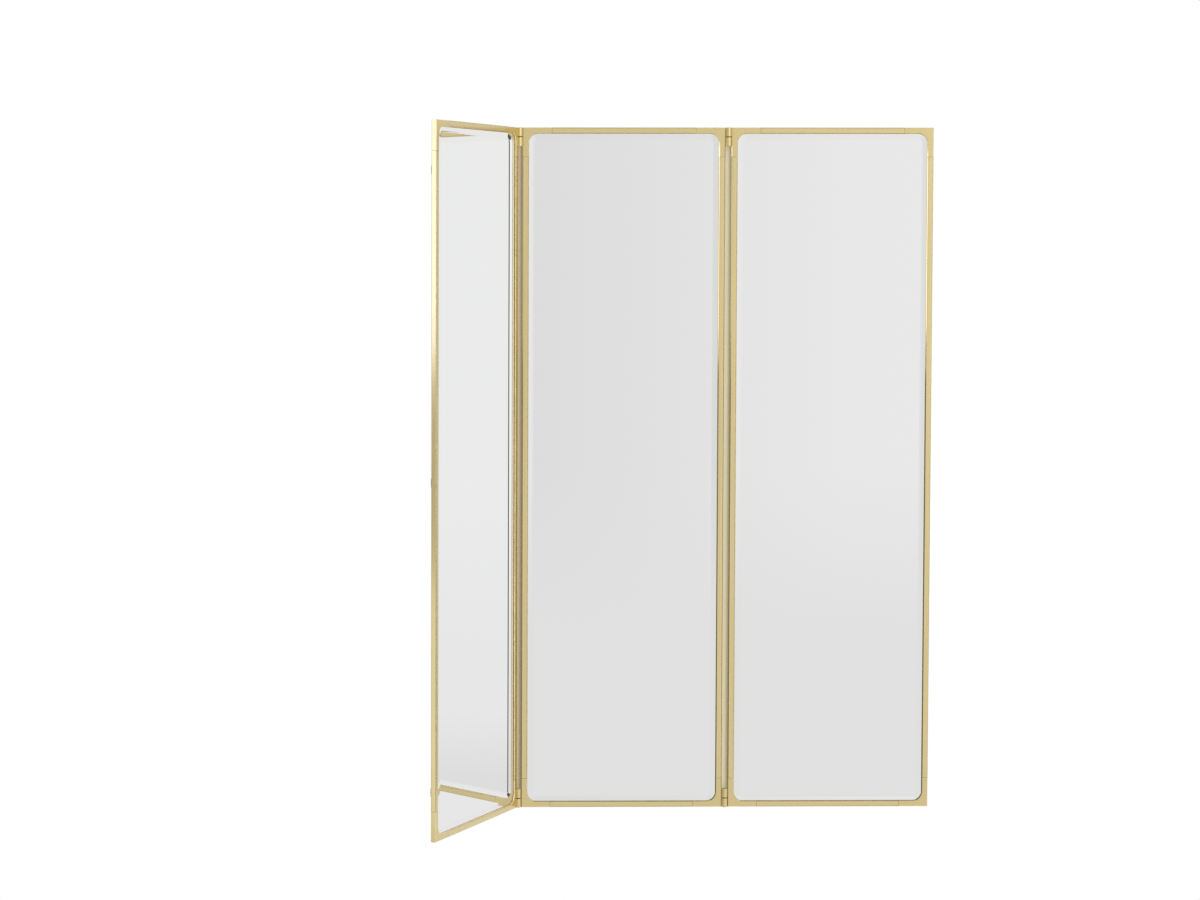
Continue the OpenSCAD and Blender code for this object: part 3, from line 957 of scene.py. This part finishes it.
@dataclass
class MirrorPane:
    """The bevelled glass of one panel, silvered at its back.

    Attributes:
        node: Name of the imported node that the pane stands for.
        body: The body that it rides on.
        placement: Carries the pane from the middle panel's place to its own.
        corner_radius: Radius of the glass's corners.
        corner_faces: Faces round each corner.
        bevel_width: Width of the bevel.
        bevel_drop: Thickness that the bevel takes off at the rim.
        mixed_width: Width of the bevel's inner band, where light enters by the bevel and leaves by the
            flat, and so bends half as far.
        crease_width: Width of the soft line where the bevel meets the flat.
        arris_width: Width of the seamed edges.
        smooth_below: Greatest angle that is shaded as one surface.
    """

    node: str
    body: Body
    placement: Matrix
    corner_radius: float = 22.5 * MM
    corner_faces: int = 40
    bevel_width: float = 15.0 * MM
    bevel_drop: float = 1.5 * MM
    mixed_width: float = 3.6 * MM
    crease_width: float = 0.4 * MM
    arris_width: float = 0.3 * MM
    smooth_below: float = math.radians(2.6)

    def build(self) -> bpy.types.Object:
        """Models the glass flat on the ground, then stands it in its panel.

        Returns:
            The finished pane.
        """
        low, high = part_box("middle_mirror_glass")
        width, thickness, height = high - low
        bpy.ops.mesh.primitive_plane_add(size=1.0)
        pane = bpy.context.object
        pane.name = f"{self.node}_pane"
        pane.scale = (width, height, 1.0)
        bpy.ops.object.transform_apply(location=False, rotation=False, scale=True)
        with editing(pane, "VERT"):
            bpy.ops.mesh.select_all(action="SELECT")
            bpy.ops.mesh.bevel(offset=self.corner_radius, segments=self.corner_faces, affect="VERTICES")
        with editing(pane, "FACE"):
            bpy.ops.mesh.select_all(action="SELECT")
            rise = {"value": (0.0, 0.0, thickness - self.bevel_drop)}
            bpy.ops.mesh.extrude_region_move(TRANSFORM_OT_translate=rise)
            for band in (self.bevel_width - self.mixed_width, self.mixed_width):
                bpy.ops.mesh.inset(thickness=band, depth=self.bevel_drop * band / self.bevel_width)
        self._soften(pane, thickness, self.crease_width)
        self._soften(pane, thickness - self.bevel_drop, self.arris_width)
        self._soften(pane, 0.0, self.arris_width)
        with editing(pane, "FACE"):
            bpy.ops.mesh.select_all(action="SELECT")
            bpy.ops.mesh.normals_make_consistent(inside=False)
        self._silver(pane, thickness)
        upright = Matrix.Rotation(QUARTER_TURN, 4, "X")
        seat = Matrix.Translation(((low.x + high.x) / 2, high.y, (low.z + high.z) / 2))
        pane.matrix_world = self.placement @ seat @ upright
        activate(pane)
        bpy.ops.object.shade_smooth_by_angle(angle=self.smooth_below)
        bpy.ops.object.transform_apply(location=True, rotation=True, scale=True)
        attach(pane, self.body.value)
        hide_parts(self.node)
        LOG.info("%s: %d faces", pane.name, len(pane.data.polygons))
        return pane

    def _soften(self, pane: bpy.types.Object, height: float, width: float) -> None:
        """Breaks the ring of edges that lies at one height of the flat pane.

        Args:
            pane: The pane, lying flat.
            height: Height of the ring above the pane's back.
            width: Width of the broken edge.
        """
        mesh = pane.data
        tolerance = 0.01 * MM
        level = [abs(vertex.co.z - height) < tolerance for vertex in mesh.vertices]
        clear_choice(mesh)
        choose(mesh.edges, lambda edge: all(level[number] for number in edge.vertices))
        with editing(pane, "EDGE"):
            bpy.ops.mesh.bevel(offset=width, segments=1, affect="EDGES")

    def _silver(self, pane: bpy.types.Object, thickness: float) -> None:
        """Gives the flat, the bevel, the ground edge and the painted back their finishes.

        Args:
            pane: The pane, lying flat on its back.
            thickness: Thickness of the glass.
        """
        facing = tuple(self.placement.to_3x3() @ Vector((0.0, -1.0, 0.0)))
        half_bend = BevelledSilvering.refraction / 2
        mixed = BevelledSilvering(f"{self.node}_mixed", flat_normal=facing, refraction=half_bend)
        bevelled = BevelledSilvering(f"{self.node}_bevel", flat_normal=facing)
        finishes = (SILVER, mixed, bevelled, GLASS_EDGE, BACK_PAINT)
        for finish in finishes:
            pane.data.materials.append(finish.material())
        on_flat, on_mixed, on_bevel, on_edge, on_back = range(len(finishes))
        flat, sloping, facing_back = 0.99999, 0.9, -0.5
        mixed_from = thickness - self.bevel_drop * self.mixed_width / self.bevel_width
        for face in pane.data.polygons:
            up = face.normal.z
            if up > flat:
                face.material_index = on_flat
            elif up > sloping:
                face.material_index = on_mixed if face.center.z > mixed_from else on_bevel
            elif up > facing_back:
                face.material_index = on_edge
            else:
                face.material_index = on_back


@dataclass
class Panel:
    """One framed mirror: its bars, corner castings, glass, board, clips and screws.

    Attributes:
        prefix: What the names of the panel's nodes start with.
        body: The body that the panel rides on.
        hinge: Name of the joint that carries it, or nothing for the panel on the wall.
        pieces: The finished pieces.
    """

    prefix: str
    body: Body
    hinge: str | None = None
    pieces: list[bpy.types.Object] = field(default_factory=list)

    def turn(self) -> float:
        """Gives the angle about Z that the panel has swung from flat, as the photograph shows it."""
        joint = self._joint()
        return math.radians(-joint["range_deg"][0] * joint["axis"][2]) if joint else 0.0

    def placement(self) -> Matrix:
        """Gives the matrix that carries a piece of the middle panel to this panel."""
        joint = self._joint()
        if joint is None:
            return Matrix.Identity(4)
        axis = Vector(joint["pos_m"])
        sideways = Matrix.Translation((2.0 * axis.x, 0.0, 0.0))
        swing = Matrix.Rotation(self.turn(), 4, "Z")
        return Matrix.Translation(axis) @ swing @ Matrix.Translation(-axis) @ sideways

    def build(self) -> None:
        """Builds and dresses every piece of the panel."""
        rails = Dressing("bar", self._brass(Grain.ALONG_RAIL), Slot.BRASS, BRASS_EDGE, ARRIS, SEAM_AND_SHADE)
        stiles = Dressing("bar", self._brass(Grain.ALONG_STILE), Slot.BRASS, BRASS_EDGE, ARRIS, SEAM_AND_SHADE, TOP_LIT_CHAMFER)
        for word, dressing in (("rail", rails), ("stile", stiles), ("corner", CAST_CORNER)):
            for node in self._nodes(word):
                self.pieces.append(dressing.dress(node, self.body, self._layout()))
        for word, dressing in PANEL_FITTINGS.items():
            for node in self._nodes(word):
                self.pieces.append(dressing.dress(node, self.body))
        pane = MirrorPane(f"{self.prefix}_mirror_glass", self.body, self.placement())
        self.pieces.append(pane.build())

    def _layout(self) -> Layout:
        """Measures where the panel's joints and front lie."""
        rail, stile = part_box("middle_top_rail"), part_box("middle_left_stile")
        ends_x = (rail[0].x, rail[1].x)
        ends_z = (stile[0].z, stile[1].z)
        return Layout(self.placement().inverted(), ends_x, ends_z, stile[0].y, not self.turn())

    def _joint(self) -> dict[str, Any] | None:
        """Gives the joint that carries the panel, if it has one."""
        return next((joint for joint in frame["joints"] if joint["name"] == self.hinge), None)

    def _brass(self, grain: Grain) -> BrushedBrass:
        """Gives the brass of the panel's bars, brushed along the given direction."""
        return BrushedBrass(f"brass_{self.prefix}_{grain.value}", grain, self.turn())

    def _nodes(self, word: str) -> list[str]:
        """Lists the panel's nodes that have a word such as rail in their name, in order."""
        return sorted(n for n in frame["nodes"] if n.startswith(self.prefix + "_") and f"_{word}" in n)


@dataclass(frozen=True)
class StageCard(Finish):
    """A flat piece of the studio, clear from behind.

    Attributes:
        paint: What it reflects of the light in the room.
        seen_paint: Whether the camera sees the paint, or only the glow.
        glow: Brightness that only the camera sees.
        mirrored: Brightness in mirrors and metal, if they see something else than the paint.
        dusk: Share of the brightness that the card's right side loses, as a painted shadow.
        dusk_from: Where the loss begins and where it is full, as shares of the width from the middle.
    """

    paint: Colour = grey(0.85)
    seen_paint: bool = True
    glow: Colour = grey(0.2)
    mirrored: Colour | None = None
    dusk: float = 0.0
    dusk_from: Span = (0.04, 0.18)

    def shade(self, graph: ShaderGraph) -> None:
        """Builds the card's three looks."""
        path = graph.add("LightPath").outputs
        matt = graph.add("BsdfDiffuse", {"Color": self._fading(graph, self.paint)}).outputs[0]
        glow = graph.add("Emission", {"Color": self._fading(graph, self.glow)}).outputs[0]
        lit = graph.add("AddShader", {0: matt, 1: glow}).outputs[0]
        seen = lit if self.seen_paint else glow
        look = graph.add("MixShader", {0: path["Is Camera Ray"], 1: matt, 2: seen}).outputs[0]
        if self.mirrored is not None:
            shine = graph.add("Emission", {"Color": opaque(self.mirrored)}).outputs[0]
            look = graph.add("MixShader", {0: path["Is Glossy Ray"], 1: look, 2: shine}).outputs[0]
        clear = graph.add("BsdfTransparent").outputs[0]
        from_behind = graph.add("NewGeometry").outputs["Backfacing"]
        both = graph.add("MixShader", {0: from_behind, 1: look, 2: clear}).outputs[0]
        graph.add("OutputMaterial", {"Surface": both})

    def _fading(self, graph: ShaderGraph, colour: Colour) -> Any:
        """Lets a colour fall off towards the card's right side, as a painted shadow.

        Args:
            graph: The material's graph.
            colour: The colour of the left side.

        Returns:
            The colour, or a socket that gives it.
        """
        if not self.dusk:
            return opaque(colour)
        share = graph.remap(graph.parts(graph.place())["X"], self.dusk_from)
        dim = tuple(value * (1.0 - self.dusk) for value in colour)
        return graph.blend(share, opaque(colour), opaque(dim))


@dataclass(frozen=True)
class SkyPatch:
    """A stretch of the surroundings with a brightness of its own.

    Attributes:
        azimuth: Its left and right end, in degrees to the right of the mirror's front.
        elevation: Its lower and upper end, in degrees above the horizon.
        level: Its brightness.
        soft: How far its edges fade, in degrees.
    """

    azimuth: Span
    elevation: Span
    level: float
    soft: float


# Painted shade and painted warm bounce light for the wall seen through the gaps: the beige tint, the warm
# camera-only glow, the darker colour that mirrors and metal see, and the fall-off towards the right.
LEFT_SLOT = StageCard(
    "left_slot",
    paint=(0.8, 0.7, 0.53),
    glow=(0.14, 0.12, 0.07),
    mirrored=(0.42, 0.37, 0.28),
    dusk=0.45,
)
RIGHT_SLOT = StageCard(
    "right_slot",
    paint=(0.85, 0.8, 0.65),
    glow=(0.28, 0.26, 0.17),
    mirrored=(0.34, 0.3, 0.2),
    dusk=0.4,
    dusk_from=(0.063, 0.285),
)
WALL_PLASTER = StageCard("wall_plaster", seen_paint=False, glow=grey(1.0), mirrored=grey(0.9))
FLOOR_PLASTER = StageCard("floor_plaster")


@dataclass(frozen=True)
class SoftRoom:
    """The even light of the room round the mirror.

    Attributes:
        levels: Brightness at azimuths, in degrees to the right of the mirror's front.
        patches: Stretches that differ from it.
        full: Brightness that stands for 1 in the colour ramp.
    """

    levels: tuple[Span, ...] = (
        (-180.0, 0.6),
        (-110.0, 0.6),
        (-80.0, 0.58),
        (-62.0, 0.6),
        (-50.0, 0.6),
        (-38.0, 0.68),
        (-20.0, 0.80),
        (-5.0, 0.80),
        (3.9, 0.813),
        (5.7, 0.846),
        (7.5, 0.873),
        (9.6, 0.92),
        (16.0, 0.94),
        (26.0, 1.1),
        (40.0, 1.05),
        (51.0, 1.075),
        (58.0, 1.25),
        (62.0, 1.2),
        (70.0, 0.94),
        (84.0, 0.8),
        (125.0, 0.65),
        (180.0, 0.6),
    )
    patches: tuple[SkyPatch, ...] = (
        SkyPatch((-6.0, 30.0), (-90.0, -7.0), 0.857, 3.0),
        SkyPatch((36.0, 58.0), (-90.0, -7.5), 1.03, 3.0),
        SkyPatch((36.0, 58.0), (-90.0, -9.8), 0.93, 1.2),
        SkyPatch((50.9, 53.2), (-10.4, 3.0), 0.12, 0.35),
        SkyPatch((17.0, 32.0), (-1.4, 8.0), 2.0, 1.0),
        SkyPatch((-180.0, 180.0), (65.0, 90.0), 0.45, 8.0),
        SkyPatch((-180.0, 180.0), (-90.0, -65.0), 0.65, 8.0),
    )
    full: float = 2.0

    def build(self, graph: ShaderGraph) -> None:
        """Builds the room's light, and plain white for the camera.

        Args:
            graph: The world's node tree.
        """
        direction = graph.parts(graph.add("TexCoord").outputs["Generated"])
        forward = graph.maths("MULTIPLY", direction["Y"], -1.0)
        azimuth = graph.maths("DEGREES", graph.maths("ARCTAN2", direction["X"], forward))
        elevation = graph.maths("DEGREES", graph.maths("ARCSINE", direction["Z"]))
        half_turn = 180.0
        around = graph.add("ValToRGB", {0: graph.remap(azimuth, (-half_turn, half_turn))})
        stops = around.color_ramp.elements
        while len(stops) < len(self.levels):
            stops.new(position=0.5)
        for stop, (angle, level) in zip(stops, self.levels):
            stop.position = (angle + half_turn) / (2.0 * half_turn)
            stop.color = opaque(grey(level / self.full))
        light = around.outputs[0]
        for patch in self.patches:
            sideways = graph.window(azimuth, patch.azimuth, patch.soft)
            upright = graph.window(elevation, patch.elevation, patch.soft)
            share = graph.maths("MULTIPLY", sideways, upright)
            light = graph.blend(share, light, opaque(grey(patch.level / self.full)))
        glow = graph.add("Background", {"Color": light, "Strength": self.full}).outputs[0]
        white = graph.add("Background", {"Color": opaque(grey(1.0))}).outputs[0]
        camera = graph.add("LightPath").outputs["Is Camera Ray"]
        mixed = graph.add("MixShader", {0: camera, 1: glow, 2: white}).outputs[0]
        graph.add("OutputWorld", {"Surface": mixed})


@dataclass(frozen=True)
class Softbox:
    """A lamp that lights the left wing's brass.

    Attributes:
        name: Its name.
        span: Heights of its lower and upper end.
        level: Its brightness.
        colour: Colour of its light.
    """

    name: str
    span: Span
    level: float
    colour: Colour


@dataclass
class Studio:
    """The pale floor, the wall, the soft light and the camera.

    Attributes:
        floor_drop: Height of the mirror's lower edge above the floor.
        wall_size: Width and height of the wall.
        wall_margin: Width of the open strip between the mirror's outline and the wall.
        slot_margin: How far the shaded plaster reaches past the left gap between two panels.
        bared_slot_margin: How far it reaches past the right gap, where an open wing bares it.
        recess: How far behind the wall's face the plaster that the mirror covers stands.
        recess_lap: How far that plaster reaches past the opening in the wall.
        strip_recess: How far behind the wall's face the strips of shaded plaster stand.
        camera_place: Where the camera stands.
        camera_yaw: Turn of the camera to the right.
        camera_pitch: Tilt of the camera downwards.
        camera_lens: Focal length on the sensor.
        camera_shift: The framing's shift, across and up.
        softbox_place: Place of the softboxes, seen from above.
        softbox_width: Width of the softboxes.
        softboxes: The softboxes, the upper one first.
        lit_side: The place that they are turned to, seen from above.
    """

    floor_drop: float = 0.35
    wall_size: float = 9.0
    wall_margin: float = 0.004
    slot_margin: float = 0.012
    bared_slot_margin: float = 0.005
    recess: float = 0.002
    recess_lap: float = 0.03
    strip_recess: float = 0.5 * MM
    camera_place: Point = (-0.6789, -6.782, -0.1049)
    camera_yaw: float = math.radians(0.783)
    camera_pitch: float = math.radians(2.973)
    camera_lens: float = 91.238
    camera_shift: Span = (0.2, -0.03)
    softbox_place: Span = (-1.57, -1.38)
    softbox_width: float = 0.8
    softboxes: tuple[Softbox, ...] = (
        Softbox("upper_softbox", (-0.38, 1.35), 1.15, (0.85, 0.96, 1.5)),
        Softbox("lower_softbox", (-1.66, -0.93), 0.45, (0.85, 0.95, 1.05)),
    )
    lit_side: Span = (-0.437, -0.42)

    def build(self) -> None:
        """Builds the whole studio."""
        self._floor()
        self._wall()
        self._slots()
        self._world()
        self._lamps()
        self._camera()
        self._colours()

    def _plane(self, name: str, low: Vector, high: Vector, finish: Finish) -> bpy.types.Object:
        """Adds a flat stage piece in one of the frame's planes.

        Args:
            name: Name of the piece.
            low: Its lowest corner.
            high: Its highest corner.
            finish: Its finish.

        Returns:
            The piece, facing up if it lies and facing the mirror's side if it stands.
        """
        upright = abs(high.y - low.y) < abs(high.z - low.z)
        turn = (QUARTER_TURN if upright else 0.0, 0.0, 0.0)
        bpy.ops.mesh.primitive_plane_add(size=1.0, location=(low + high) / 2, rotation=turn)
        plane = bpy.context.object
        plane.name = name
        size = high - low
        plane.scale = (size.x, size.z if upright else size.y, 1.0)
        plane.data.materials.append(finish.material())
        return plane

    def _floor(self) -> None:
        """Lays the pale floor in front of the wall and behind it."""
        level = CAD_BOX[0].z - self.floor_drop
        half = self.wall_size / 2
        corners = (Vector((-half, -half, level)), Vector((half, half, level)))
        floor = self._plane("floor", *corners, FLOOR_PLASTER)
        floor.visible_glossy = False

    def _wall(self) -> None:
        """Stands the wall round the mirror's outline, and behind it for the camera alone."""
        low, high = CAD_BOX
        margin = self.wall_margin
        half = self.wall_size / 2
        floor = low.z - self.floor_drop
        covered_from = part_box("middle_left_stile")[0].x - self.slot_margin
        inner_low = Vector((covered_from, 0.0, low.z - margin))
        inner_high = Vector((high.x + margin, 0.0, high.z + margin))
        sides = {
            "wall_below": (-half, floor, half, inner_low.z),
            "wall_above": (-half, inner_high.z, half, half),
            "wall_left": (-half, inner_low.z, inner_low.x, inner_high.z),
            "wall_right": (inner_high.x, inner_low.z, half, inner_high.z),
        }
        for name, (left, bottom, right, top) in sides.items():
            self._plane(name, Vector((left, 0.0, bottom)), Vector((right, 0.0, top)), WALL_PLASTER)
        behind = Vector((0.0, self.recess, 0.0))
        lap = Vector((self.recess_lap, 0.0, self.recess_lap))
        corners = (inner_low + behind - lap, inner_high + behind + lap)
        covered = self._plane("wall_covered", *corners, WALL_PLASTER)
        covered.visible_diffuse = False
        covered.visible_glossy = False
        covered.visible_shadow = False

    def _slots(self) -> None:
        """Stands a strip of plaster behind each gap between two panels, lit by the room, with painted shade
        and painted warm bounce light in its colours.
        """
        low, high = CAD_BOX
        inner_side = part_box("middle_right_stile")[1].x
        slots = {
            "left_wing_hinge": (LEFT_SLOT, self.slot_margin),
            "right_wing_hinge": (RIGHT_SLOT, self.bared_slot_margin),
        }
        for joint in frame["joints"]:
            name, axis_x = joint["name"], joint["pos_m"][0]
            look, margin = slots[name]
            reach = abs(axis_x) - inner_side + margin
            bottom = Vector((axis_x - reach, self.strip_recess, low.z))
            top = Vector((axis_x + reach, self.strip_recess, high.z))
            strip = self._plane(f"wall_behind_{name}", bottom, top, look)
            strip.visible_diffuse = False
            strip.visible_shadow = False

    def _world(self) -> None:
        """Lights the room."""
        world = bpy.data.worlds.new("studio_light")
        bpy.context.scene.world = world
        world.use_nodes = True
        SoftRoom().build(ShaderGraph(world.node_tree))

    def _lamps(self) -> None:
        """Hangs the two softboxes that light the left wing's brass."""
        lit = bpy.data.collections.new("left_wing_brass")
        for piece in bpy.context.scene.objects:
            if piece.name.startswith("left_wing") and piece.name.endswith(("_bar", "_casting")):
                lit.objects.link(piece)
        x, y = self.softbox_place
        towards = Vector((self.lit_side[0] - x, self.lit_side[1] - y, 0.0))
        for softbox in self.softboxes:
            low, high = softbox.span
            data = bpy.data.lights.new(softbox.name, "AREA")
            data.shape = "RECTANGLE"
            data.size, data.size_y = self.softbox_width, high - low
            data.energy = softbox.level * math.pi * data.size * data.size_y
            data.color = softbox.colour
            lamp = bpy.data.objects.new(softbox.name, data)
            bpy.context.scene.collection.objects.link(lamp)
            lamp.location = (x, y, (low + high) / 2)
            lamp.rotation_euler = towards.to_track_quat("-Z", "Y").to_euler()
            lamp.visible_camera = False
            lamp.light_linking.receiver_collection = lit

    def _camera(self) -> None:
        """Stands the camera where the photograph was taken from."""
        data = bpy.data.cameras.new("camera")
        data.lens = self.camera_lens
        data.shift_x, data.shift_y = self.camera_shift
        camera = bpy.data.objects.new("camera", data)
        bpy.context.scene.collection.objects.link(camera)
        camera.location = self.camera_place
        camera.rotation_euler = (QUARTER_TURN - self.camera_pitch, 0.0, -self.camera_yaw)
        bpy.context.scene.camera = camera

    def _colours(self) -> None:
        """Shows colours as they are written."""
        bpy.context.scene.view_settings.view_transform = "Standard"


def main() -> None:
    """Builds the panels, the middle panel's fittings and the studio, and reports each panel."""
    logging.basicConfig(level=logging.INFO, format="%(name)s %(message)s")
    panels = (
        Panel("middle", Body.MIDDLE),
        Panel("left_wing", Body.LEFT_WING, "left_wing_hinge"),
        Panel("right_wing", Body.RIGHT_WING, "right_wing_hinge"),
    )
    for panel in panels:
        panel.build()
        LOG.info("%s: %d pieces", panel.prefix, len(panel.pieces))
    for node, dressing in MIDDLE_FITTINGS.items():
        dressing.dress(node, Body.MIDDLE)
    Studio().build()


if __name__ == "__main__":
    main()
